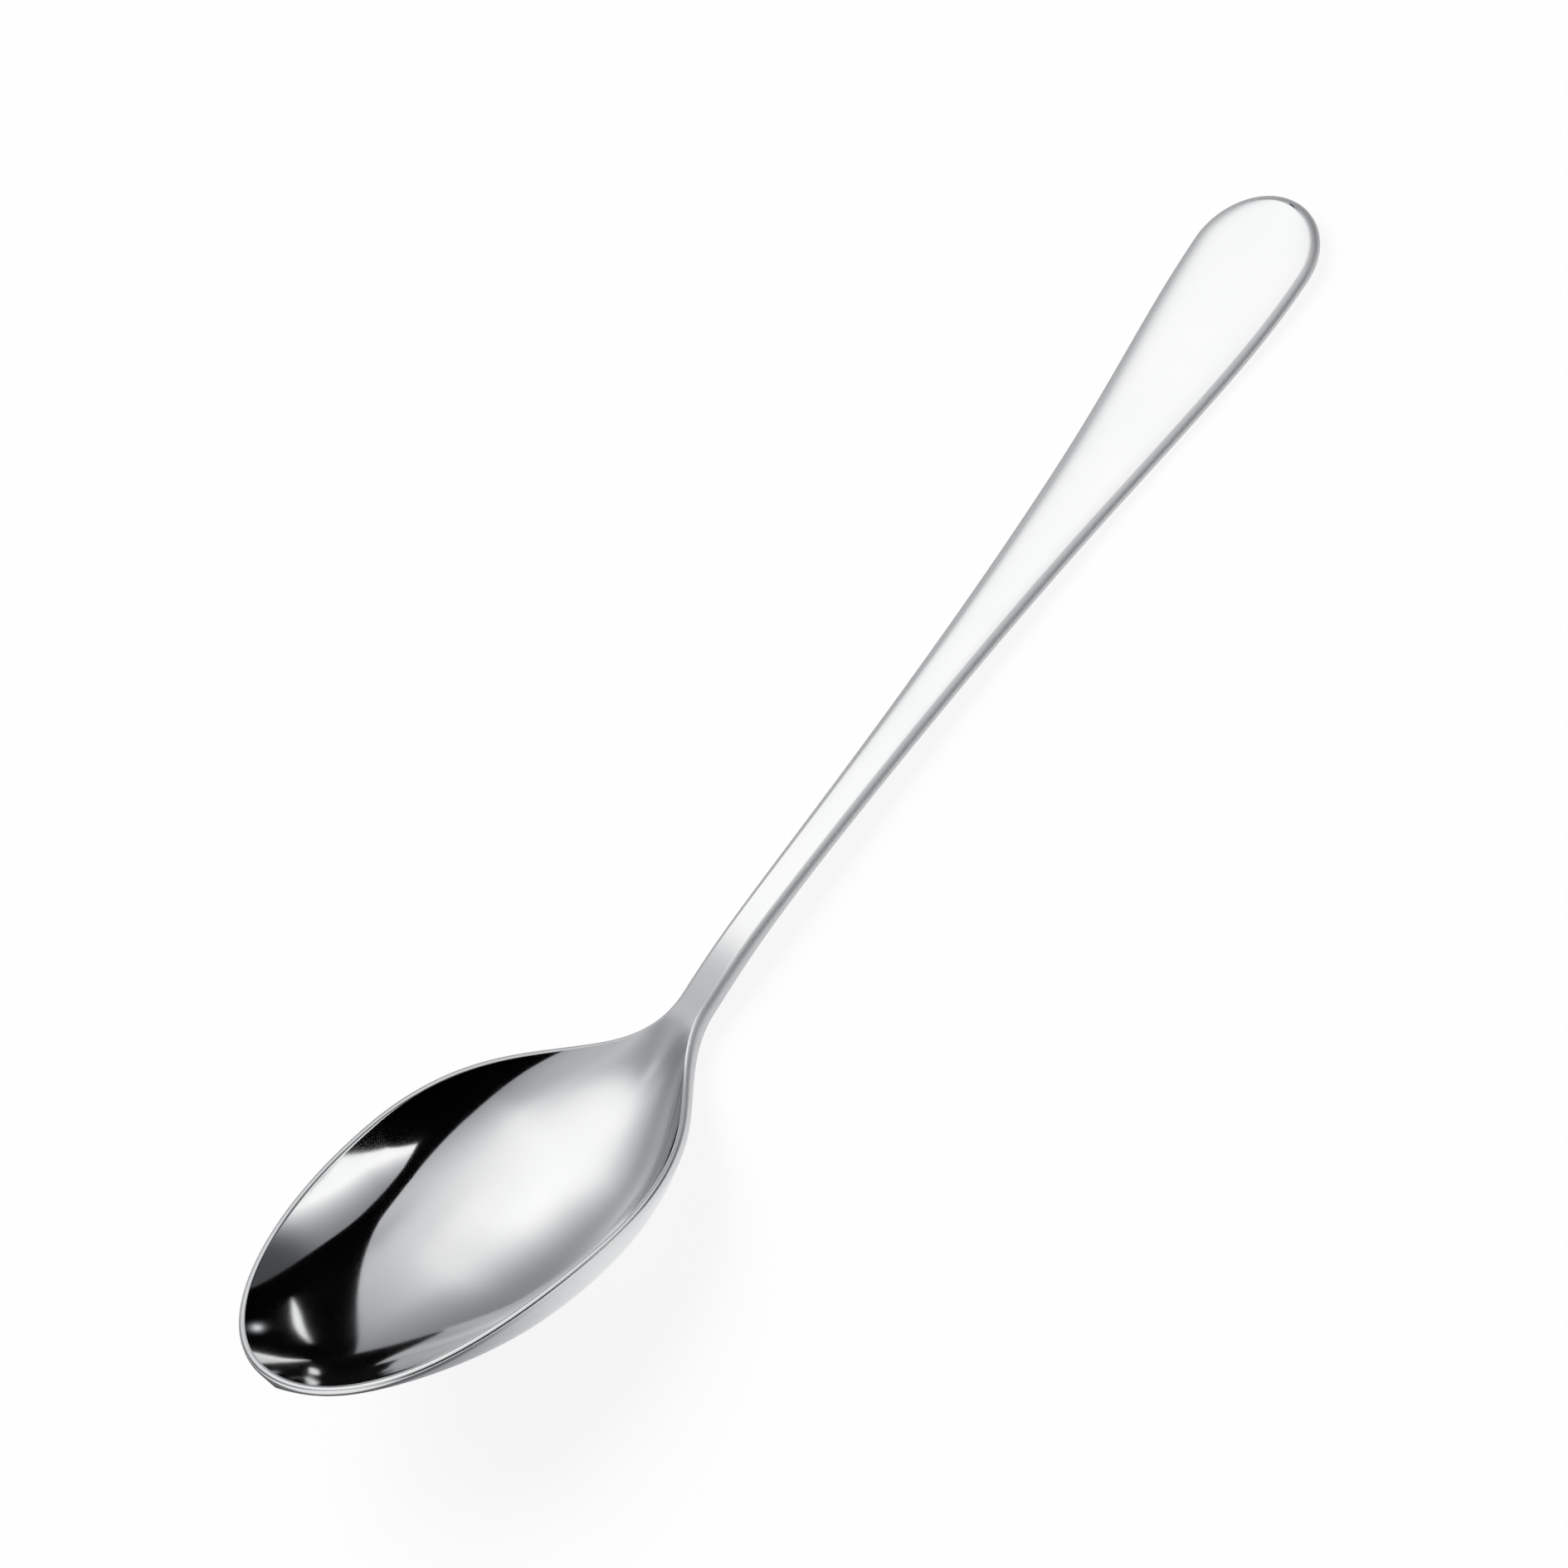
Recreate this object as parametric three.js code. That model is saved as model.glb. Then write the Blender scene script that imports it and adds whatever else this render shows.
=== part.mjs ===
// Serving spoon, stamped from one blank of stainless steel and mirror polished.
// The spoon is drawn in its bowl frame: X runs from the tip of the bowl to the end of the handle,
// Y points to the left and Z points up from the plane of the rim.
// It is then laid down as it lies on a table, on the bowl's underside and the end of the handle.
import * as THREE from 'three';
import { mergeVertices } from 'three/addons/utils/BufferGeometryUtils.js';

// Driving dimensions in millimetres: the outline seen from above
const spoonLength = 210;
const bowlWidth = 47.8;
const bowlWidestAt = 39.5;
const tipRoundness = 13.4;
const bowlFrontFlank = 24.9;
const bowlRearFlank = 24.1;
const neckAt = 79.4;
const neckWidth = 5.7;
const neckRunIn = 11.8;
const neckRunOut = 90.2;
const handleEndWidth = 21.2;
const handleEndRadius = 9.4;
const handleEndFlank = 22.3;

// Driving dimensions in millimetres: the side view
const bowlDepth = 11.2;
const bowlDeepestAt = 32.0;
const dishEndAt = 76.9;
const rimCrown = 1.05;
const bendAt = 71.1;
const bendLength = 4.2;
const handleRisePerLength = 0.26;
const neckArch = 0.45;
const neckArchLength = 14.8;
const neckDip = 1.93;
const neckDipAt = 70.5;
const neckDipLength = 11.4;
const endUpturn = 3.1;
const endUpturnLength = 45.8;

// Driving dimensions in millimetres: the steel
const bowlThickness = 1.6;
const neckThickness = 2.73;
const neckThickeningLength = 14.5;
const handleThickness = 1.81;
const handleCrown = 0.14;
const rimFaceWidth = 0.93;
const rimFaceDrop = 0.9;
const handleEdgeRound = 1.0;
const restFlatDepth = 0.1;

// Form factors without a unit
const frontFullness = 2.02;
const rearFullness = 2.72;
const rearRunOut = 2.14;
const wallFullness = 0.62;

// Facets: stations along each stretch of the outline, and steps around a section
const tipStations = 15;
const shoulderStations = 26;
const handleStations = 26;
const endStations = 12;
const stepsAcross = 18;
const stepsAroundEdge = 4;

const smooth = (x, from, to) => THREE.MathUtils.smoothstep(x, from, to);
const mix = THREE.MathUtils.lerp;

// Half of the outline as four curves: the tip, the shoulder into the neck, the handle and its round end
function outlineCurves() {
  const point = (x, y) => new THREE.Vector2(x, y);
  const halfBowl = bowlWidth / 2;
  const halfNeck = neckWidth / 2;
  const halfEnd = handleEndWidth / 2;
  const endAt = spoonLength - handleEndRadius;
  const circlePull = 4 / 3 * (Math.SQRT2 - 1);
  return [
    [tipStations, new THREE.CubicBezierCurve(
      point(0, 0), point(0, tipRoundness),
      point(bowlWidestAt - bowlFrontFlank, halfBowl), point(bowlWidestAt, halfBowl))],
    [shoulderStations, new THREE.CubicBezierCurve(
      point(bowlWidestAt, halfBowl), point(bowlWidestAt + bowlRearFlank, halfBowl),
      point(neckAt - neckRunIn, halfNeck), point(neckAt, halfNeck))],
    [handleStations, new THREE.CubicBezierCurve(
      point(neckAt, halfNeck), point(neckAt + neckRunOut, halfNeck),
      point(endAt - handleEndFlank, halfEnd), point(endAt, halfEnd))],
    [endStations, new THREE.CubicBezierCurve(
      point(endAt, halfEnd), point(endAt + circlePull * handleEndRadius, halfEnd),
      point(spoonLength, circlePull * halfEnd), point(spoonLength, 0))],
  ];
}

// Stations along the outline, each with its point and its outward normal seen from above
function outlineStations() {
  const stations = [];
  for (const [count, curve] of outlineCurves()) {
    for (let step = stations.length ? 1 : 0; step <= count; step++) {
      const tangent = curve.getTangent(step / count);
      stations.push({
        point: curve.getPoint(step / count),
        normal: new THREE.Vector2(-tangent.y, tangent.x),
      });
    }
  }
  return stations;
}

// Height of the top edge in the side view: an almost level rim that dips at the neck, a soft bend
// and an arched handle that rises
function edgeHeight(x) {
  const pastBend = (x - bendAt + Math.hypot(x - bendAt, bendLength)) / 2;
  const rise = handleRisePerLength * pastBend + neckArch * (1 - Math.exp(-pastBend / neckArchLength));
  const alongRim = THREE.MathUtils.clamp(x / bendAt, 0, 1);
  const crown = rimCrown * 16 * alongRim ** 2 * (1 - alongRim) ** 2;
  const fromDip = (x - neckDipAt) / neckDipLength;
  const dip = neckDip * Math.exp(-(fromDip ** 2));
  const nearEnd = Math.max(0, x - spoonLength + endUpturnLength) / endUpturnLength;
  return rise + crown - dip + endUpturn * nearEnd ** 2;
}

// Depth of the dish below the edge along the middle of the spoon
function dishDepth(x) {
  const dishStart = rimFaceWidth;
  if (x <= dishStart || x >= dishEndAt) {
    return 0;
  }
  if (x < bowlDeepestAt) {
    const toDeepest = (bowlDeepestAt - x) / (bowlDeepestAt - dishStart);
    return bowlDepth * (1 - toDeepest ** frontFullness);
  }
  const pastDeepest = (x - bowlDeepestAt) / (dishEndAt - bowlDeepestAt);
  return bowlDepth * (1 - pastDeepest ** rearFullness) ** rearRunOut;
}

// Thickness of the steel along the middle: thin bowl, stout neck, handle of sheet
function thickness(x) {
  const sheet = mix(bowlThickness, handleThickness, smooth(x, bowlWidestAt, neckAt));
  const fromNeck = (x - neckAt) / neckThickeningLength;
  return sheet + (neckThickness - sheet) * Math.exp(-(fromNeck ** 2));
}

// Share of the section that is bowl wall, from 1 in the bowl to 0 at the neck
const bowlShare = (x) => 1 - smooth(x, bowlWidestAt + bowlRearFlank / 2, neckAt);

// Closed section at one station: top face, left edge, underside, right edge
function section(station) {
  const { point, normal } = station;
  const share = bowlShare(point.x);
  const edgeWidth = mix(handleEdgeRound, rimFaceWidth, share);
  const edgeDrop = mix(thickness(point.x) / 2, rimFaceDrop, share);
  const lastAngle = -Math.PI / 2 * (1 - share);
  const innerPoint = point.clone().addScaledVector(normal, -edgeWidth);
  const edgePoint = (angle, side) => {
    const spot = innerPoint.clone().addScaledVector(normal, edgeWidth * Math.cos(angle));
    const z = edgeHeight(point.x) - edgeDrop * (1 - Math.sin(angle));
    return new THREE.Vector3(spot.x, side * spot.y, z);
  };
  const fullness = wallFullness * smooth(point.x, 0, bowlWidestAt) * share;
  const hollow = (t) => 1 - (1 - fullness) * t ** 2 - fullness * t ** 6;
  const crown = handleCrown * smooth(point.x, neckAt, spoonLength - handleEndRadius);
  const loop = [];
  for (let step = 0; step < stepsAcross; step++) {
    const t = 2 * step / stepsAcross - 1;
    const sink = dishDepth(innerPoint.x) - crown;
    const z = edgeHeight(point.x) - sink * hollow(t);
    loop.push(new THREE.Vector3(innerPoint.x, innerPoint.y * t, z));
  }
  for (let step = 0; step < stepsAroundEdge; step++) {
    loop.push(edgePoint(mix(Math.PI / 2, lastAngle, step / stepsAroundEdge), 1));
  }
  const corner = edgePoint(lastAngle, 1);
  const floor = dishDepth(innerPoint.x) + thickness(point.x);
  const cornerDrop = edgeHeight(point.x) - corner.z;
  for (let step = 0; step < stepsAcross; step++) {
    const t = 1 - 2 * step / stepsAcross;
    const z = corner.z - (floor - cornerDrop) * hollow(t);
    loop.push(new THREE.Vector3(corner.x, corner.y * t, z));
  }
  for (let step = 0; step < stepsAroundEdge; step++) {
    loop.push(edgePoint(mix(lastAngle, Math.PI / 2, step / stepsAroundEdge), -1));
  }
  return loop;
}

// Tilt about Y that sets the bowl's underside and the handle on one level
function restTilt(points) {
  const lowest = (tilt, inPart) => {
    const turned = points.filter(inPart).map((p) => p.z * Math.cos(tilt) - p.x * Math.sin(tilt));
    return Math.min(...turned);
  };
  const inBowl = (p) => p.x < neckAt;
  const inHandle = (p) => p.x >= neckAt;
  let low = 0;
  let high = Math.PI / 4;
  for (let step = 0; step < 40; step++) {
    const middle = (low + high) / 2;
    if (lowest(middle, inHandle) > lowest(middle, inBowl)) {
      low = middle;
    } else {
      high = middle;
    }
  }
  return (low + high) / 2;
}

// Lays the spoon on the table, centred on the origin, with a small worn flat where it touches
function layDown(points) {
  const tilt = restTilt(points);
  const turn = new THREE.Matrix4().makeRotationY(tilt);
  points.forEach((p) => p.applyMatrix4(turn));
  const box = new THREE.Box3().setFromPoints(points);
  const middle = (box.min.x + box.max.x) / 2;
  for (const p of points) {
    p.x -= middle;
    p.z = Math.max(0, p.z - box.min.z - restFlatDepth);
  }
}

// Skin over the sections; they close to a point at the tip and at the end of the handle
function spoonGeometry() {
  const loops = outlineStations().map(section);
  const around = loops[0].length;
  const points = loops.flat();
  layDown(points);
  const faces = [];
  for (let row = 0; row + 1 < loops.length; row++) {
    for (let column = 0; column < around; column++) {
      const next = (column + 1) % around;
      const here = row * around;
      const there = here + around;
      faces.push([here + column, there + next, here + next]);
      faces.push([here + column, there + column, there + next]);
    }
  }
  const geometry = new THREE.BufferGeometry().setFromPoints(points);
  geometry.setIndex(faces.flat());
  const merged = mergeVertices(geometry, 1e-3);
  const index = Array.from(merged.index.array);
  const kept = [];
  for (let corner = 0; corner < index.length; corner += 3) {
    const [a, b, c] = index.slice(corner, corner + 3);
    if (a !== b && b !== c && c !== a) {
      kept.push(a, b, c);
    }
  }
  merged.setIndex(kept);
  merged.computeVertexNormals();
  return merged;
}

const polishedSteel = new THREE.MeshStandardMaterial({ color: 0xc9cbcc, roughness: 0.08, metalness: 1 });
const spoon = new THREE.Mesh(spoonGeometry(), polishedSteel);
spoon.name = 'spoon';

const servingSpoon = new THREE.Group();
servingSpoon.add(spoon);

export default servingSpoon;
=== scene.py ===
"""Serving spoon of mirror-polished stainless steel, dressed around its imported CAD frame."""

import math

import bpy
import numpy as np
from mathutils import Matrix, Vector


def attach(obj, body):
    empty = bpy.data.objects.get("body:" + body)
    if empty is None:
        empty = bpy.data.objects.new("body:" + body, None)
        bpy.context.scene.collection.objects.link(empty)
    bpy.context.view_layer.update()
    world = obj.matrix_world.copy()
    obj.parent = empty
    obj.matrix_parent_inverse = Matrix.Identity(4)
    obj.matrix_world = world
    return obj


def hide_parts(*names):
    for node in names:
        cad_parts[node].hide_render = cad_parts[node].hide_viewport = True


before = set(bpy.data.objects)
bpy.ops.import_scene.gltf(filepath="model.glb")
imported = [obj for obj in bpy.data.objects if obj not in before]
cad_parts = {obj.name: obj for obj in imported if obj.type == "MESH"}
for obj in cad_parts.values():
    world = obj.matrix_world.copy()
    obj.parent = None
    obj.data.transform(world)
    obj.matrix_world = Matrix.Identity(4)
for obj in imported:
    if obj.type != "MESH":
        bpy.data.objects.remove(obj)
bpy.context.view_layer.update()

bl_info = {
    "name": "Serving spoon",
    "version": (1, 0, 0),
    "blender": (4, 5, 0),
    "location": "3D View > Sidebar > Spoon",
    "description": "Builds a one-piece polished steel serving spoon and a small studio around it",
    "category": "Add Mesh",
}

MM = 0.001
IMAGE_PIXELS = 1890
PIXELS_PER_MM = 9.176


def length(name, description, millimetres):
    """A length property with its default given in millimetres."""
    return bpy.props.FloatProperty(
        name=name, description=description, default=millimetres * MM, subtype="DISTANCE", unit="LENGTH")


def factor(name, description, value, low=0.0, high=1.0):
    """A plain number property."""
    return bpy.props.FloatProperty(name=name, description=description, default=value, min=low, max=high)


def angle(name, description, degrees):
    """An angle property with its default given in degrees."""
    return bpy.props.FloatProperty(
        name=name, description=description, default=math.radians(degrees), subtype="ANGLE", unit="ROTATION")


def srgb(code):
    """Linear colour of an sRGB hex value such as c8c9ca."""
    channels = [int(code[at:at + 2], 16) / 255 for at in (0, 2, 4)]
    return [c / 12.92 if c <= 0.04045 else ((c + 0.055) / 1.055) ** 2.4 for c in channels]


def colour(name, description, code):
    """A colour property with its default given as an sRGB hex value."""
    return bpy.props.FloatVectorProperty(
        name=name, description=description, default=srgb(code), size=3, subtype="COLOR", min=0, max=1)


class SpoonSizes(bpy.types.PropertyGroup):
    """Driving sizes of the spoon, in its bowl frame: tip at X 0, rim at Z 0"""
    spoon_length: length("Spoon length", "Tip of the bowl to the end of the handle", 210)
    bowl_width: length("Bowl width", "Widest part of the bowl over its rim", 47.8)
    bowl_widest_at: length("Bowl widest at", "Distance of the widest part from the tip", 39.5)
    tip_roundness: length("Tip roundness", "Reach of the round tip to each side", 13.4)
    bowl_front_flank: length("Front flank", "Straight pull of the outline ahead of the widest part", 24.9)
    bowl_rear_flank: length("Rear flank", "Straight pull of the outline behind the widest part", 24.1)
    neck_at: length("Neck at", "Distance of the narrowest part from the tip", 79.4)
    neck_width: length("Neck width", "Width of the narrowest part", 5.7)
    neck_run_in: length("Neck run-in", "Length over which the shoulder runs into the neck", 11.8)
    neck_run_out: length("Neck run-out", "Length over which the neck stays slim", 90.2)
    handle_end_width: length("Handle end width", "Widest part of the handle", 21.2)
    handle_end_radius: length("Handle end radius", "Length of the round end", 9.4)
    handle_end_flank: length("Handle end flank", "Straight pull of the outline before the round end", 22.3)
    bowl_depth: length("Bowl depth", "Depth of the dish below the rim", 11.2)
    bowl_deepest_at: length("Deepest at", "Distance of the deepest spot from the tip", 32.0)
    dish_end_at: length("Dish end at", "Where the dish has run out into the neck", 76.9)
    rim_crown: length("Rim crown", "Rise of the rim between the tip and the neck", 1.05)
    bend_at: length("Bend at", "Where the handle starts to rise from the bowl", 71.1)
    bend_length: length("Bend length", "Length of the soft bend", 4.2)
    neck_arch: length("Neck arch", "Extra height that the handle gains just past the bend", 0.45)
    neck_arch_length: length("Neck arch length", "Length over which that extra rise dies out", 14.8)
    neck_dip: length("Neck dip", "Fall of the rim where it meets the neck", 1.93)
    neck_dip_at: length("Neck dip at", "Distance of the dip's lowest spot from the tip", 70.5)
    neck_dip_length: length("Neck dip length", "Length to each side over which the dip dies out", 11.4)
    end_upturn: length("End upturn", "Rise of the turned-up end", 3.1)
    end_upturn_length: length("Upturn length", "Length of the turned-up end", 45.8)
    bowl_thickness: length("Bowl thickness", "Steel at the bottom of the bowl", 1.6)
    neck_thickness: length("Neck thickness", "Steel at the neck", 2.73)
    neck_thickening_length: length("Neck thickening", "Length of the thicker neck", 14.5)
    handle_thickness: length("Handle thickness", "Steel of the handle", 1.81)
    handle_crown: length("Handle crown", "Swell of the handle's top face where it is widest", 0.35)
    rim_face_width: length("Rim face width", "Width of the polished edge of the bowl", 0.93)
    rim_face_drop: length("Rim face drop", "Fall of that edge to the outside", 0.9)
    neck_edge_round: length("Neck edge", "Rounding of the edges at the neck", 1.0)
    handle_edge_round: length("Handle edge", "Rounding of the edges along the broad handle", 1.3)
    handle_edge_run: length("Handle edge run", "Length behind the neck over which the rounding grows", 60)
    rest_flat_depth: length("Rest flat", "Depth of the small worn flats that it rests on", 0.1)
    handle_rise: factor("Handle rise", "Rise of the handle for each unit of length", 0.26)
    front_fullness: factor("Front fullness", "How steeply the tip drops into the dish", 2.02, 1, 4)
    rear_fullness: factor("Rear fullness", "How long the dish stays deep behind its deepest spot", 2.72, 1, 5)
    rear_run_out: factor("Rear run-out", "How softly the dish runs out into the neck", 2.14, 0.8, 4)
    wall_fullness: factor("Wall fullness", "How upright the walls stand at the rim", 0.62)
    rim_rounding: factor("Rim rounding", "Outer corner of the rim: 1 is round, less is squarer", 0.5)
    handle_fullness: factor("Handle fullness", "How far out the handle's top stays flat", 0.6)


class SpoonFinish(bpy.types.PropertyGroup):
    """Finish of the polished steel"""
    steel: colour("Steel", "Colour of the polished stainless steel", "e7e7e7")
    steel_haze: colour("Steel haze", "Colour where the polish is a little hazy", "e1e2e3")
    gloss: factor("Roughness", "Roughness of the mirror polish", 0.05)
    haze: factor("Haze", "Extra roughness of the hazy patches and of the polishing lines", 0.03)
    edge_wear: factor("Edge wear", "Extra roughness of the satin edges of the handle", 0.5)
    rim_wear: factor("Rim wear", "Share of that roughness on the better polished rim of the bowl", 0.3)
    haze_size: length("Haze size", "Size of the hazy patches", 12)
    line_spacing: length("Line spacing", "Spacing of the polishing lines, drawn coarse enough to show", 0.4)
    line_length: length("Line length", "Length of a polishing line", 25)
    wave_length: length("Wave length", "Size of the waves in the pressed sheet", 9)
    wave_height: length("Wave height", "Height of the waves in the pressed sheet", 0.004)


class StudioSettings(bpy.types.PropertyGroup):
    """Camera and light of the small studio"""
    view_azimuth: angle("Azimuth", "Camera direction round the spoon, 0 looks along +Y", -17.11)
    view_elevation: angle("Elevation", "Camera height above the table", 44.69)
    view_roll: angle("Roll", "Turn of the picture", -41.39)
    view_distance: length("Distance", "Camera distance", 1500)
    view_width: length("View width", "Width of the picture at the spoon", IMAGE_PIXELS / PIXELS_PER_MM)
    aim_height: length("Aim height", "Height of the point that the camera aims at", 13)
    aim_right: length("Aim right", "Shift of the spoon to the right in the picture", 10.8 / PIXELS_PER_MM)
    aim_up: length("Aim up", "Shift of the spoon upwards in the picture", 3.0 / PIXELS_PER_MM)
    floor: colour("Floor", "Colour of the pale floor", "f7f7f6")
    floor_white: factor("Floor white", "Share of the floor that is plain white; the rest shows shadow", 0.86)
    lamp_energy: factor("Lamp energy", "Strength of the soft lamp", 2.2, 0, 20)
    lamp_spread: angle("Lamp spread", "Width of the soft lamp", 50)


def smooth(x, start, end):
    """Smooth step from 0 at start to 1 at end."""
    t = np.clip((x - start) / (end - start), 0, 1)
    return t * t * (3 - 2 * t)


def mix(a, b, share):
    """Value between a and b."""
    return a + (b - a) * share


def bezier(points, steps):
    """Points and unit tangents of a cubic Bezier curve, without its first point."""
    t = (np.arange(steps) + 1)[:, None] / steps
    p = np.array(points, float)
    place = (1 - t) ** 3 * p[0] + 3 * t * (1 - t) ** 2 * p[1] + 3 * t * t * (1 - t) * p[2] + t ** 3 * p[3]
    pull = (1 - t) ** 2 * (p[1] - p[0]) + 2 * t * (1 - t) * (p[2] - p[1]) + t * t * (p[3] - p[2])
    return place, pull / np.linalg.norm(pull, axis=1, keepdims=True)


# Facets: steps along each stretch of the outline, and around a section
TIP_STEPS = 44
SHOULDER_STEPS = 84
HANDLE_STEPS = 80
END_STEPS = 36
ACROSS_STEPS = 56
EDGE_STEPS = 10


def outline(s):
    """Half of the outline from above: points and outward normals from the tip to the handle's end."""
    half_bowl = s.bowl_width / 2
    half_neck = s.neck_width / 2
    half_end = s.handle_end_width / 2
    widest = s.bowl_widest_at
    end_at = s.spoon_length - s.handle_end_radius
    circle_pull = 4 / 3 * (math.sqrt(2) - 1)
    stretches = [
        bezier([(0, 0), (0, s.tip_roundness),
                (widest - s.bowl_front_flank, half_bowl), (widest, half_bowl)], TIP_STEPS),
        bezier([(widest, half_bowl), (widest + s.bowl_rear_flank, half_bowl),
                (s.neck_at - s.neck_run_in, half_neck), (s.neck_at, half_neck)], SHOULDER_STEPS),
        bezier([(s.neck_at, half_neck), (s.neck_at + s.neck_run_out, half_neck),
                (end_at - s.handle_end_flank, half_end), (end_at, half_end)], HANDLE_STEPS),
        bezier([(end_at, half_end), (end_at + circle_pull * s.handle_end_radius, half_end),
                (s.spoon_length, circle_pull * half_end), (s.spoon_length, 0)], END_STEPS),
    ]
    places = np.vstack([[(0.0, 0.0)]] + [place for place, tangent in stretches])
    tangents = np.vstack([[(0.0, 1.0)]] + [tangent for place, tangent in stretches])
    normals = np.column_stack([-tangents[:, 1], tangents[:, 0]])
    return places, normals


def edge_height(s, x):
    """Height of the top edge: an almost level rim that dips at the neck, then the rising handle."""
    past_bend = (x - s.bend_at + np.hypot(x - s.bend_at, s.bend_length)) / 2
    rise = s.handle_rise * past_bend + s.neck_arch * (1 - np.exp(-past_bend / s.neck_arch_length))
    along_rim = np.clip(x / s.bend_at, 0, 1)
    crown = s.rim_crown * 16 * along_rim ** 2 * (1 - along_rim) ** 2
    from_dip = (x - s.neck_dip_at) / s.neck_dip_length
    dip = s.neck_dip * np.exp(-(from_dip ** 2))
    near_end = np.maximum(0, x - s.spoon_length + s.end_upturn_length) / s.end_upturn_length
    return rise + crown - dip + s.end_upturn * near_end ** 2


def dish_depth(s, x):
    """Depth of the dish below the edge along the middle."""
    start = s.rim_face_width
    to_deepest = np.clip((s.bowl_deepest_at - x) / (s.bowl_deepest_at - start), 0, 1)
    past_deepest = np.clip((x - s.bowl_deepest_at) / (s.dish_end_at - s.bowl_deepest_at), 0, 1)
    front = 1 - to_deepest ** s.front_fullness
    rear = (1 - past_deepest ** s.rear_fullness) ** s.rear_run_out
    return s.bowl_depth * np.where(x < s.bowl_deepest_at, front, rear)


def steel_thickness(s, x):
    """Thickness of the steel along the middle."""
    sheet = mix(s.bowl_thickness, s.handle_thickness, smooth(x, s.bowl_widest_at, s.neck_at))
    from_neck = (x - s.neck_at) / s.neck_thickening_length
    return sheet + (s.neck_thickness - sheet) * np.exp(-(from_neck ** 2))


def spoon_sections(s):
    """Closed section loops from tip to end, as an array of stations by points by XYZ in the bowl frame."""
    places, normals = outline(s)
    x = places[:, 0]
    share = 1 - smooth(x, s.bowl_widest_at + s.bowl_rear_flank / 2, s.neck_at)
    thickness = steel_thickness(s, x)
    broad = smooth(x, s.neck_at, s.neck_at + s.handle_edge_run)
    edge_width = mix(mix(s.neck_edge_round, s.handle_edge_round, broad), s.rim_face_width, share)
    edge_drop = mix(thickness / 2, s.rim_face_drop, share)
    last_angle = -math.pi / 2 * (1 - share)
    rounding = mix(1, s.rim_rounding, share)
    inner = places - normals * edge_width[:, None]
    edge_z = edge_height(s, inner[:, 0])
    depth = dish_depth(s, inner[:, 0])
    crown = s.handle_crown * broad * inner[:, 1] / (s.handle_end_width / 2)
    wall = s.wall_fullness * smooth(x, 0, s.bowl_widest_at) * share
    fullness = (wall + s.handle_fullness * broad)[:, None]

    def hollow(t):
        """Form of a face across: 1 in the middle, 0 at its sides."""
        return 1 - (1 - fullness) * t ** 2 - fullness * t ** 6

    def edge_point(turn, side):
        """Points of the rounded edge at a turn from the top, on the left for side 1, on the right for -1."""
        out = np.cos(turn) ** rounding
        level = np.sign(np.sin(turn)) * np.abs(np.sin(turn)) ** rounding
        spot = inner + normals * (edge_width * out)[:, None]
        return np.stack([spot[:, 0], side * spot[:, 1], edge_z - edge_drop * (1 - level)], axis=-1)

    spread = np.linspace(-1, 1, ACROSS_STEPS + 1)[None, :-1]
    # Steps across lie closer together towards the sides, where the wall bends most
    across = mix(spread, np.sin(spread * math.pi / 2), 0.8)
    one = np.ones_like(across)
    top = np.stack([inner[:, :1] * one, inner[:, 1:] * across,
                    edge_z[:, None] - (depth - crown)[:, None] * hollow(across)], axis=-1)
    corner = edge_point(last_angle, 1)
    floor = (depth + thickness - (edge_z - corner[:, 2]))[:, None]
    under = np.stack([corner[:, :1] * one, -corner[:, 1:2] * across,
                      corner[:, 2:] - floor * hollow(across)], axis=-1)
    turns = [mix(math.pi / 2, last_angle, step / EDGE_STEPS) for step in range(EDGE_STEPS + 1)]
    left = np.stack([edge_point(turn, 1) for turn in turns[:-1]], axis=1)
    right = np.stack([edge_point(turn, -1) for turn in turns[:0:-1]], axis=1)
    return np.concatenate([top, left, under, right], axis=1)


def rest_tilt(s, points):
    """Tilt about Y that sets the bowl's underside and the handle on one level."""
    in_handle = points[:, 0] >= s.neck_at
    low, high = 0.0, math.pi / 4
    for _ in range(40):
        middle = (low + high) / 2
        z = points[:, 2] * math.cos(middle) - points[:, 0] * math.sin(middle)
        if z[in_handle].min() > z[~in_handle].min():
            low = middle
        else:
            high = middle
    return (low + high) / 2


def lay_down(s, points):
    """Lays the spoon on the table, centred, with a small worn flat where it touches."""
    tilt = rest_tilt(s, points)
    turn = np.array(Matrix.Rotation(tilt, 3, "Y"))
    laid = points @ turn.T
    laid[:, 0] -= (laid[:, 0].min() + laid[:, 0].max()) / 2
    laid[:, 2] = np.maximum(0, laid[:, 2] - laid[:, 2].min() - s.rest_flat_depth)
    return laid


def add_node(tree, kind, links=None, **settings):
    """Adds a shader node, sets its attributes or sockets and links its inputs."""
    node = tree.nodes.new(kind)
    for key, value in settings.items():
        if hasattr(node, key):
            setattr(node, key, value)
        else:
            node.inputs[key.replace("_", " ")].default_value = value
    for socket, source in (links or {}).items():
        tree.links.new(source, node.inputs[socket])
    return node


def new_material(name):
    """An empty node material and its tree."""
    material = bpy.data.materials.new(name)
    material.use_nodes = True
    material.node_tree.nodes.clear()
    return material, material.node_tree


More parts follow.
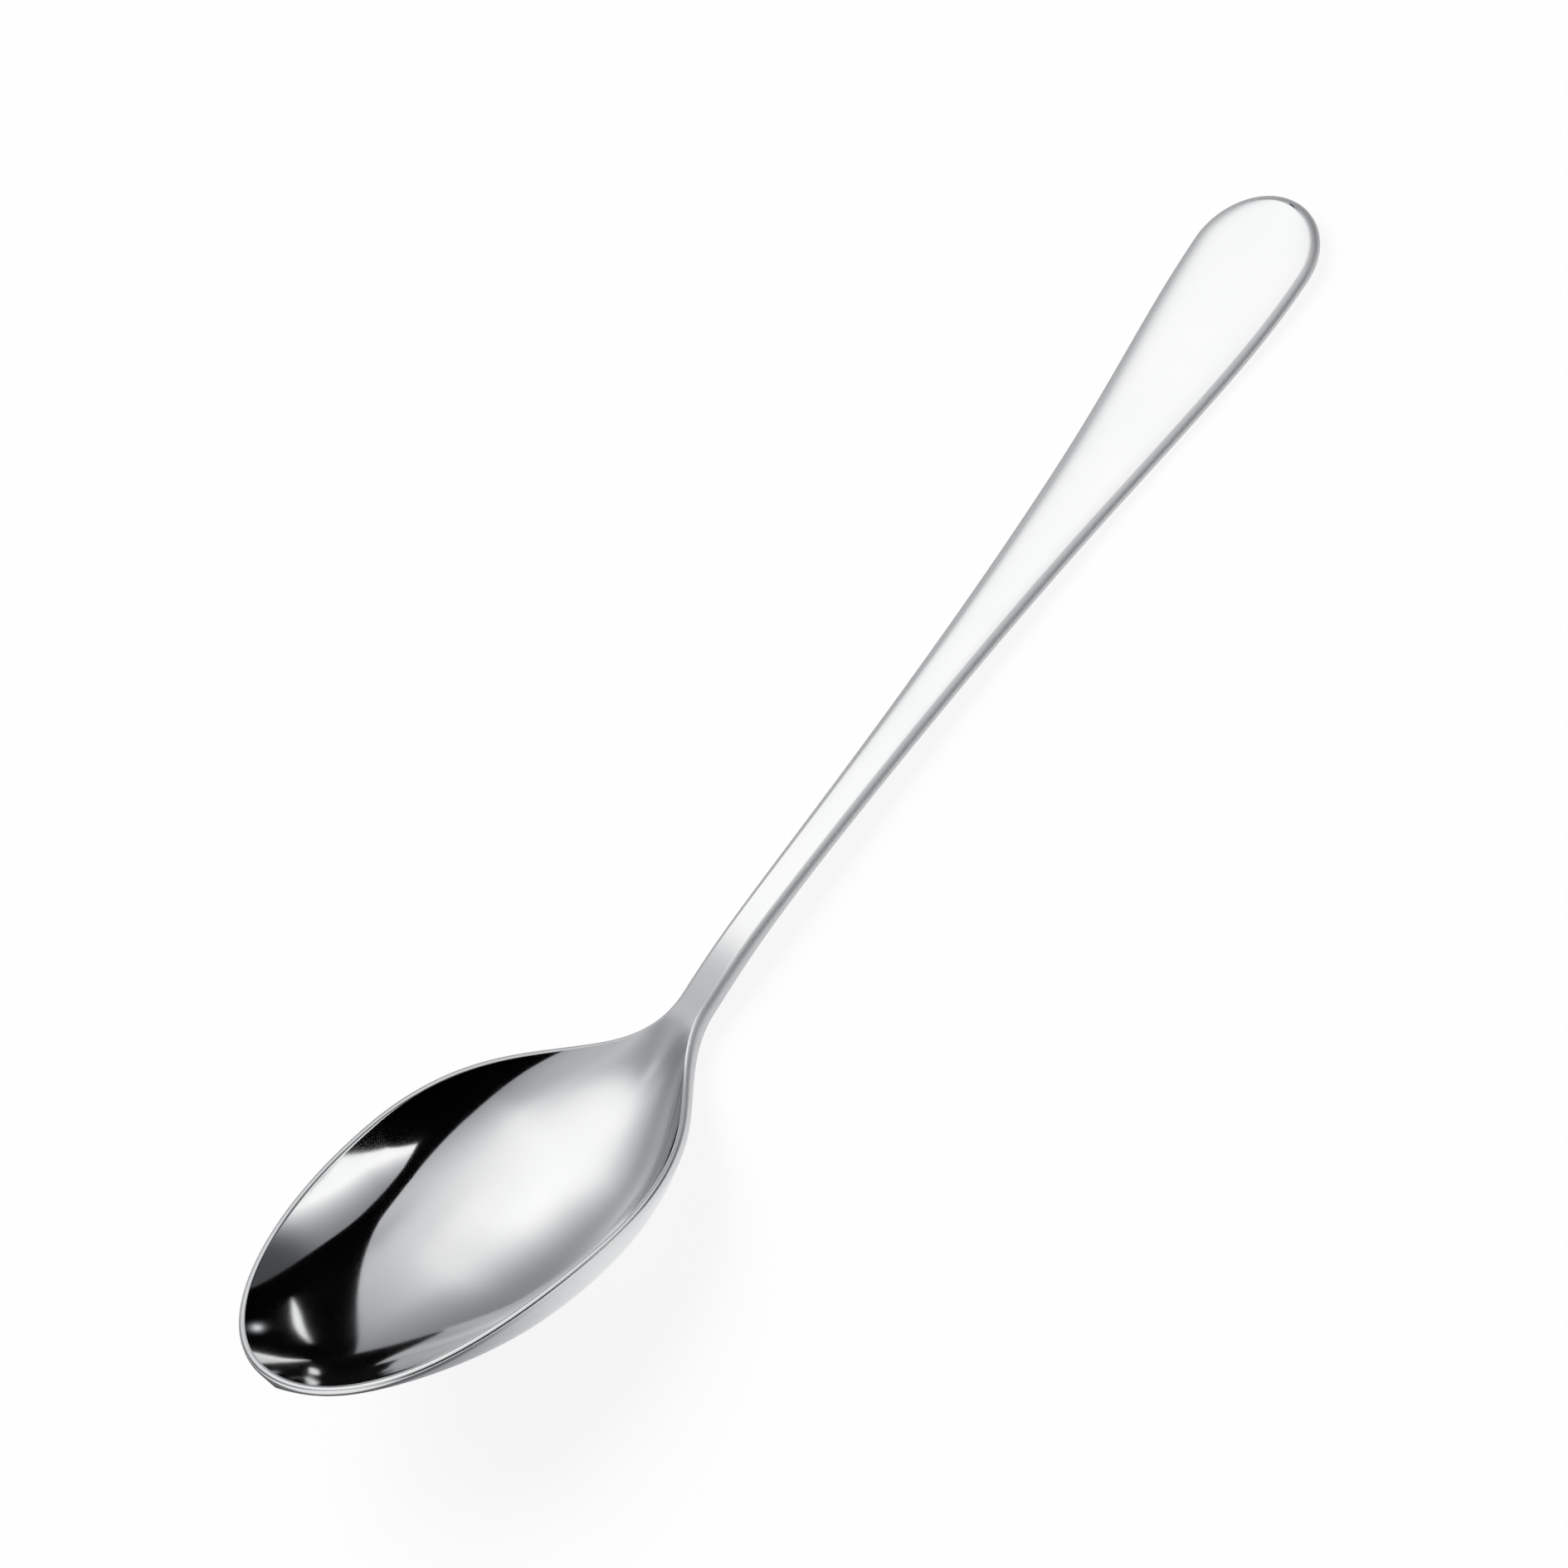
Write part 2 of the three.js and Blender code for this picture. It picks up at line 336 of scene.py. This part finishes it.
def polished_steel(finish):
    """Stainless steel, stamped, ground and mirror polished on a cloth wheel."""
    # It mirrors the room almost sharply. A soft haze in patches, fine lines along the wheel's path and a
    # faint waviness of the pressed sheet keep it from looking like glass, and the edges are satin.
    material, tree = new_material("mirror_polished_stainless_steel")
    place = add_node(tree, "ShaderNodeTexCoord").outputs["Object"]
    patches = add_node(tree, "ShaderNodeTexNoise", {"Vector": place}, Scale=1 / finish.haze_size, Detail=3.0)
    line_scale = (1 / finish.line_length, 1 / finish.line_spacing, 1 / finish.line_spacing)
    drawn_out = add_node(tree, "ShaderNodeMapping", {"Vector": place}, Scale=line_scale)
    lines = add_node(tree, "ShaderNodeTexNoise", {"Vector": drawn_out.outputs["Vector"]},
                     Scale=1.0, Detail=2.0)
    waves = add_node(tree, "ShaderNodeTexNoise", {"Vector": place}, Scale=1 / finish.wave_length, Detail=0.0)
    edge = add_node(tree, "ShaderNodeAttribute", attribute_name="edge")

    haze = add_node(tree, "ShaderNodeMapRange", {"Value": patches.outputs["Fac"]}, From_Min=0.4, From_Max=0.7,
                    To_Min=finish.gloss, To_Max=finish.gloss + finish.haze)
    brushed = add_node(tree, "ShaderNodeMath", {0: lines.outputs["Fac"], 2: haze.outputs["Result"]},
                       operation="MULTIPLY_ADD")
    brushed.inputs[1].default_value = finish.haze
    worn = add_node(tree, "ShaderNodeMath", {0: edge.outputs["Fac"], 2: brushed.outputs[0]},
                    operation="MULTIPLY_ADD")
    worn.inputs[1].default_value = finish.edge_wear
    tint = add_node(tree, "ShaderNodeMixRGB", {"Fac": patches.outputs["Fac"]},
                    Color1=(*finish.steel, 1), Color2=(*finish.steel_haze, 1))
    uneven = add_node(tree, "ShaderNodeBump", {"Height": waves.outputs["Fac"]}, Distance=finish.wave_height)

    shader = add_node(tree, "ShaderNodeBsdfPrincipled", {
        "Base Color": tint.outputs["Color"], "Roughness": worn.outputs[0], "Normal": uneven.outputs["Normal"],
    }, Metallic=1.0)
    add_node(tree, "ShaderNodeOutputMaterial", {"Surface": shader.outputs["BSDF"]})
    return material


def mesh_object(name, vertices, faces):
    """A linked mesh object with smooth faces."""
    mesh = bpy.data.meshes.new(name)
    mesh.from_pydata(vertices, [], faces)
    mesh.validate()
    mesh.shade_smooth()
    made = bpy.data.objects.new(name, mesh)
    bpy.context.scene.collection.objects.link(made)
    return made


def skin_faces(rows, around):
    """Quads of a skin over closed loops, each loop one row."""
    row, column = np.meshgrid(np.arange(rows - 1), np.arange(around), indexing="ij")
    here = row * around
    there = here + around
    after = (column + 1) % around
    quads = np.stack([here + column, there + column, there + after, here + after], axis=-1)
    return quads.reshape(-1, 4).tolist()


def mark_edges(spoon, sizes, finish, loops):
    """Writes how worn the rounded edges are: fully along the handle, less on the rim of the bowl."""
    wear = np.zeros(loops.shape[:2])
    along = mix(finish.rim_wear, 1, smooth(loops[:, :1, 0], sizes.bowl_widest_at, sizes.neck_at))
    wear[:, ACROSS_STEPS:ACROSS_STEPS + EDGE_STEPS + 1] = along
    wear[:, 2 * ACROSS_STEPS + EDGE_STEPS:] = along
    spoon.data.attributes.new("edge", "FLOAT", "POINT").data.foreach_set("value", wear.ravel())


class SPOON_OT_add_spoon(bpy.types.Operator):
    """Adds the spoon as one closed skin over its sections"""
    bl_idname = "spoon.add_spoon"
    bl_label = "Add spoon"

    def execute(self, context):
        sizes = context.scene.spoon_sizes
        loops = spoon_sections(sizes)
        points = lay_down(sizes, loops.reshape(-1, 3))
        spoon = mesh_object("polished_spoon", points.tolist(), skin_faces(*loops.shape[:2]))
        mark_edges(spoon, sizes, context.scene.spoon_finish, loops)
        weld = spoon.modifiers.new("close_ends", "WELD")
        weld.merge_threshold = 0.002 * MM
        spoon.data.materials.append(polished_steel(context.scene.spoon_finish))
        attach(spoon, "root")
        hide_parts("spoon")
        return {"FINISHED"}


def sky_directions(east, north):
    """Unit vectors from a map of the sky: degrees from straight up, east towards +X, north towards +Y."""
    from_top = np.radians(np.hypot(east, north))
    bearing = np.arctan2(north, east)
    level = np.sin(from_top)
    return np.stack([level * np.cos(bearing), level * np.sin(bearing), np.cos(from_top)], axis=-1)


# Distances of the studio's cards from the spoon, in metres; a nearer card hides the farther ones
DIFFUSER_AT = 3.0
CURTAIN_AT = 2.8
WINDOW_AT = 2.6
LAMPS_AT = 2.5
BRIGHTEST_GLOW = 1.25


def card_material():
    """Paper and cloth of the studio cards, as bright as their glow attribute says and cool where dim."""
    material, tree = new_material("studio_card")
    glow = add_node(tree, "ShaderNodeAttribute", attribute_name="glow")
    tint = add_node(tree, "ShaderNodeMixRGB", {"Fac": glow.outputs["Fac"]},
                    Color1=(*srgb("f2f6fd"), 1), Color2=(1, 1, 1, 1))
    shine = add_node(tree, "ShaderNodeEmission",
                     {"Color": tint.outputs["Color"], "Strength": glow.outputs["Fac"]})
    add_node(tree, "ShaderNodeOutputMaterial", {"Surface": shine.outputs["Emission"]})
    return material


def studio_card(name, points, glow):
    """A card or cloth of the studio over a grid of points; only the polished steel sees it."""
    rows, columns = points.shape[:2]
    start = (np.arange(rows - 1)[:, None] * columns + np.arange(columns - 1)).ravel()
    quads = np.column_stack([start, start + 1, start + columns + 1, start + columns])
    card = mesh_object(name, points.reshape(-1, 3).tolist(), quads.tolist())
    card.data.attributes.new("glow", "FLOAT", "POINT").data.foreach_set("value", glow.ravel())
    card.data.materials.append(bpy.data.materials.get("studio_card") or card_material())
    card.visible_camera = False
    card.visible_diffuse = False
    card.visible_shadow = False


def soft_edge(inside, softness):
    """Share of light at a distance inside a soft edge, in degrees: 0 well outside, 1 well inside."""
    return 0.5 + 0.5 * np.tanh(inside / softness)


def add_diffuser():
    """Large diffuser over the spoon: a tilted soft box that fades to one side, and round lamps about it."""
    east, north = np.meshgrid(np.arange(-50, 86, 1.5), np.arange(-56, 104, 1.5))
    turn = math.radians(-13)
    from_middle_east, from_middle_north = east - 27.5, north - 21.5
    across = from_middle_east * math.cos(turn) + from_middle_north * math.sin(turn)
    along = from_middle_north * math.cos(turn) - from_middle_east * math.sin(turn)
    box = soft_edge(across + 23, 3) * soft_edge(23 - across, 23)
    box *= soft_edge(along + 23.5, 34) * soft_edge(23.5 - along, 6)
    glow = 0.11 + box * (0.46 - 0.0223 * across + 0.005 * along)
    # Lamps behind the cloth: degrees east and north, spread and strength. The last one is a shade.
    lamps = (
        (10.5, 55, 6, 0.33), (13, 50, 3.5, 0.12), (-49, -2.5, 21, 1), (-6, 42, 6, 0.15),
        (3.5, 44, 3.5, 0.24), (-4, 5.5, 8, 0.1), (31.5, 30.5, 6, 0.12), (16, 81, 11, 0.46),
        (26.5, 47.5, 7, 0.35), (44, 0, 40, 0.67), (49, -6, 8, -0.2),
    )
    for lamp_east, lamp_north, spread, strength in lamps:
        apart = np.hypot(east - lamp_east, north - lamp_north) / spread
        glow += strength * np.exp(-apart ** 2 / 2)
    glow = np.minimum(glow, BRIGHTEST_GLOW)
    studio_card("diffuser", DIFFUSER_AT * sky_directions(east, north), glow)


def add_curtain():
    """Black curtain round the camera, which gives the bowl its dark bands."""
    upper = bezier([(-33, -31), (32, -47), (61.5, -29), (63.5, 65.5)], 96)[0]
    hem_from_top = 115
    lower = upper * (hem_from_top / np.hypot(*upper.T))[:, None]
    down = np.linspace(0, 1, 24)[:, None, None]
    grid = mix(upper[None], lower[None], down)
    points = CURTAIN_AT * sky_directions(grid[..., 0], grid[..., 1])
    studio_card("camera_curtain", points, np.zeros(grid.shape[:2]))


def add_window():
    """Second, smaller diffuser beside the camera, bright along its low side, grey upwards and to one end."""
    upper = bezier([(22, -53), (56.5, -19.5), (57, -44), (83, -12)], 64)[0]
    lower = np.linspace((50, -93), (100, -50), 64)
    down = np.linspace(0, 1, 64)[:, None, None]
    grid = mix(upper[None], lower[None], down)
    east, north = grid[..., 0], grid[..., 1]
    raised = north + 65 - 1.1 * np.maximum(0, 40 - east)
    glow = 0.08 + soft_edge(67.5 - east, 4) * (0.13 + np.exp(-np.maximum(0, raised) / 13))
    studio_card("window_card", WINDOW_AT * sky_directions(east, north), glow)


def add_strip_light():
    """Slim bent lamp low beside the camera and a small one by it: a crescent and a spot in the bowl's tip."""
    aside, north = np.meshgrid(np.linspace(-1.2, 1.2, 33), np.linspace(1, 43, 85))
    half_width = 0.95 * (1 - ((north - 22) / 20) ** 2)
    glow = 1.15 * soft_edge(half_width - np.abs(aside), 0.12)
    bent = 75.3 - 0.0045 * np.maximum(0, north - 20) ** 2
    studio_card("strip_light", LAMPS_AT * sky_directions(bent + aside, north), glow)
    east, north = np.meshgrid(np.linspace(80, 86, 33), np.linspace(12, 30, 33))
    glow = np.exp(-((east - 83) / 0.8) ** 2 - ((north - 21) / 3.5) ** 2)
    studio_card("spot_light", LAMPS_AT * sky_directions(east, north), glow)


def add_painted_dark_reflection():
    """Painted dark reflection of a black cloth on the floor beyond the handle, so that the tip of the bowl
    stays dark down to its rim.
    """
    out, bearing = np.meshgrid(np.linspace(0.14, CURTAIN_AT, 12), np.radians(np.linspace(-75, 60, 48)))
    points = np.stack([out * np.cos(bearing), out * np.sin(bearing), np.full(out.shape, 0.001)], axis=-1)
    # Painted dark reflection: zero glow, seen only in the steel, over a floor that looks white to the camera.
    studio_card("painted_dark_reflection_cloth", points, np.zeros(out.shape))


def add_painted_floor_shadow():
    """Painted shadow of the table close about the spoon, seen in the steel: dark under the tip, palest by the
    bowl's widest part.
    """
    x, y = np.meshgrid(np.linspace(-0.17, 0.135, 62), np.linspace(-0.1, 0.1, 24))
    # Painted shadow: the glow is darkest under the tip and falls a little again along the handle.
    glow = mix(0.15, 0.88, smooth(x, -0.108, -0.066)) - 0.13 * smooth(x, -0.06, -0.02)
    studio_card("painted_floor_shadow_sheet", np.stack([x, y, np.full(x.shape, 0.0003)], axis=-1), glow)


def seen_directly(tree):
    """Output that is 1 for rays from the camera, from gloss and through glass, and 0 for the rest."""
    path = add_node(tree, "ShaderNodeLightPath")
    seen = add_node(tree, "ShaderNodeMath",
                    {0: path.outputs["Is Camera Ray"], 1: path.outputs["Is Glossy Ray"]}, operation="MAXIMUM")
    either = add_node(tree, "ShaderNodeMath",
                      {0: seen.outputs[0], 1: path.outputs["Is Transmission Ray"]}, operation="MAXIMUM")
    return either.outputs[0]


def add_floor(studio):
    """Pale floor, white to the eye, that keeps the spoon's shadow."""
    material, tree = new_material("pale_paper_floor")
    paper = add_node(tree, "ShaderNodeBsdfDiffuse", Color=(*studio.floor, 1))
    white = add_node(tree, "ShaderNodeEmission", Color=(1, 1, 1, 1), Strength=1.0)
    share = add_node(tree, "ShaderNodeMath", {0: seen_directly(tree)}, operation="MULTIPLY")
    share.inputs[1].default_value = studio.floor_white
    both = add_node(tree, "ShaderNodeMixShader",
                    {0: share.outputs[0], 1: paper.outputs["BSDF"], 2: white.outputs["Emission"]})
    add_node(tree, "ShaderNodeOutputMaterial", {"Surface": both.outputs["Shader"]})
    turn = np.linspace(0, 2 * math.pi, 96, endpoint=False)
    ring = [(4 * math.cos(a), 4 * math.sin(a), 0) for a in turn]
    floor = mesh_object("pale_floor", ring, [list(range(len(ring)))])
    floor.data.materials.append(material)


def add_light(scene, studio):
    """Even white surroundings, and one broad soft lamp behind the diffuser."""
    world = bpy.data.worlds.new("white_studio")
    world.use_nodes = True
    tree = world.node_tree
    tree.nodes.clear()
    level = add_node(tree, "ShaderNodeMath", {0: seen_directly(tree)}, operation="MULTIPLY_ADD")
    level.inputs[1].default_value = 0.5
    level.inputs[2].default_value = 0.5
    white = add_node(tree, "ShaderNodeBackground", {"Strength": level.outputs[0]}, Color=(1, 1, 1, 1))
    add_node(tree, "ShaderNodeOutputWorld", {"Surface": white.outputs["Background"]})
    scene.world = world
    lamp = bpy.data.lights.new("soft_lamp", "SUN")
    lamp.energy = studio.lamp_energy
    lamp.angle = studio.lamp_spread
    lamp_object = bpy.data.objects.new("soft_lamp", lamp)
    lamp_object.rotation_mode = "QUATERNION"
    lamp_object.rotation_quaternion = Vector(sky_directions(6, 40)).to_track_quat("Z", "Y")
    lamp_object.visible_glossy = False
    scene.collection.objects.link(lamp_object)


def add_camera(scene, studio):
    """Camera that looks down at the spoon, with the picture turned about the line of sight."""
    azimuth, elevation = studio.view_azimuth, studio.view_elevation
    back = Vector((math.sin(azimuth) * math.cos(elevation),
                   -math.cos(azimuth) * math.cos(elevation), math.sin(elevation)))
    level = Vector((math.cos(azimuth), math.sin(azimuth), 0))
    upright = back.cross(level)
    right = level * math.cos(studio.view_roll) + upright * math.sin(studio.view_roll)
    up = back.cross(right)
    place = Vector((0, 0, studio.aim_height)) + back * studio.view_distance
    place -= right * studio.aim_right + up * studio.aim_up
    camera = bpy.data.cameras.new("camera")
    camera.sensor_fit = "HORIZONTAL"
    camera.lens = camera.sensor_width * studio.view_distance / studio.view_width
    camera.clip_end = 10
    camera_object = bpy.data.objects.new("camera", camera)
    scene.collection.objects.link(camera_object)
    axes = Matrix((right, up, back)).transposed().to_4x4()
    camera_object.matrix_world = Matrix.Translation(place) @ axes
    scene.camera = camera_object


class SPOON_OT_add_stage(bpy.types.Operator):
    """Adds the floor, the light, the studio's cards and the camera"""
    bl_idname = "spoon.add_stage"
    bl_label = "Add studio"

    def execute(self, context):
        scene = context.scene
        scene.view_settings.view_transform = "Standard"
        studio = scene.spoon_studio
        add_light(scene, studio)
        add_floor(studio)
        add_diffuser()
        add_curtain()
        add_window()
        add_strip_light()
        add_painted_dark_reflection()
        add_painted_floor_shadow()
        add_camera(scene, studio)
        return {"FINISHED"}


class SPOON_PT_panel(bpy.types.Panel):
    """Lists the spoon's operators and sizes"""
    bl_idname = "SPOON_PT_panel"
    bl_label = "Serving spoon"
    bl_space_type = "VIEW_3D"
    bl_region_type = "UI"
    bl_category = "Spoon"

    def draw(self, context):
        layout = self.layout
        for operator in (SPOON_OT_add_spoon, SPOON_OT_add_stage):
            layout.operator(operator.bl_idname)
        for group in (context.scene.spoon_sizes, context.scene.spoon_finish, context.scene.spoon_studio):
            box = layout.box()
            for key in group.__annotations__:
                box.prop(group, key)


CLASSES = (SpoonSizes, SpoonFinish, StudioSettings, SPOON_OT_add_spoon, SPOON_OT_add_stage, SPOON_PT_panel)


def register():
    """Registers the classes and hangs the settings on the scene."""
    for made in CLASSES:
        bpy.utils.register_class(made)
    bpy.types.Scene.spoon_sizes = bpy.props.PointerProperty(type=SpoonSizes)
    bpy.types.Scene.spoon_finish = bpy.props.PointerProperty(type=SpoonFinish)
    bpy.types.Scene.spoon_studio = bpy.props.PointerProperty(type=StudioSettings)


def unregister():
    """Takes the settings and classes away again."""
    del bpy.types.Scene.spoon_studio
    del bpy.types.Scene.spoon_finish
    del bpy.types.Scene.spoon_sizes
    for made in reversed(CLASSES):
        bpy.utils.unregister_class(made)


def main():
    """Builds the spoon and its studio."""
    register()
    bpy.ops.spoon.add_spoon()
    bpy.ops.spoon.add_stage()


if __name__ == "__main__":
    main()
